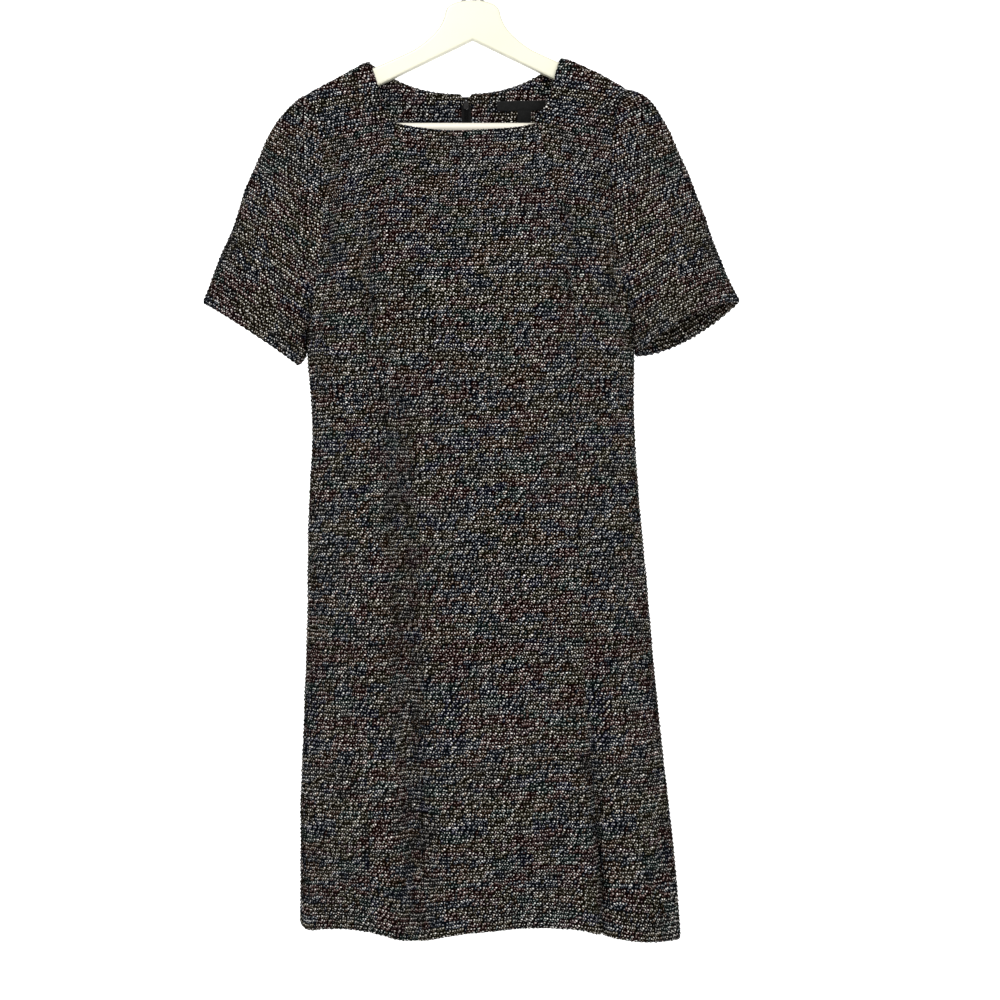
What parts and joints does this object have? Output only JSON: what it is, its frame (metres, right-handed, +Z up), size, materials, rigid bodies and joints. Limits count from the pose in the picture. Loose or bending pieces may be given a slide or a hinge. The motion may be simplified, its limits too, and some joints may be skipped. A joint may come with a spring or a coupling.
{
  "type": "sheath dress on a hanger",
  "caption": "Short-sleeved, square-necked tweed sheath dress with princess seams and a back zip, hanging flat on a wooden hanger with a trouser bar.",
  "frame": {"origin": "inside top of the hanger's hook, where the rail carries it", "axes": "+Z up, the dress's front faces -Y, +X to the right of someone who looks at its front"},
  "size_m": [0.6059, 0.1319, 1.1332],
  "materials": {
    "boucle_tweed": "black boucle tweed with multicoloured slubs, matt and beaded",
    "woven_black": "plain woven satin label, bare",
    "zip_tape": "herringbone zip tape, matt",
    "zip_metal": "dark grey lacquered metal, satin",
    "painted_wood": "cream painted wood, satin",
    "hook_steel": "bright steel wire"
  },
  "bodies": {
    "dress_on_hanger": {"back_left": "boucle_tweed", "back_right": "boucle_tweed", "front_centre": "boucle_tweed", "front_side_left": "boucle_tweed", "front_side_right": "boucle_tweed", "hanger_bar": "painted_wood", "hanger_body": "painted_wood", "hanger_hook": "hook_steel", "neck_facing_left": "boucle_tweed", "neck_facing_right": "boucle_tweed", "neck_label": "woven_black", "size_tab": "woven_black", "sleeve_left": "boucle_tweed", "sleeve_right": "boucle_tweed", "zip_slider": "zip_metal", "zip_tape_left": "zip_tape", "zip_tape_right": "zip_tape"},
    "zip_pull": {"zip_pull_tab": "zip_metal"}
  },
  "joints": [
    {"name": "zip_pull_swing", "type": "hinge", "parent": "dress_on_hanger", "child": "zip_pull", "pos_m": [-0.00771, 0.01911, -0.18217], "axis": [0.9998, 0, 0.0188], "range_deg": [0, 150]}
  ]
}
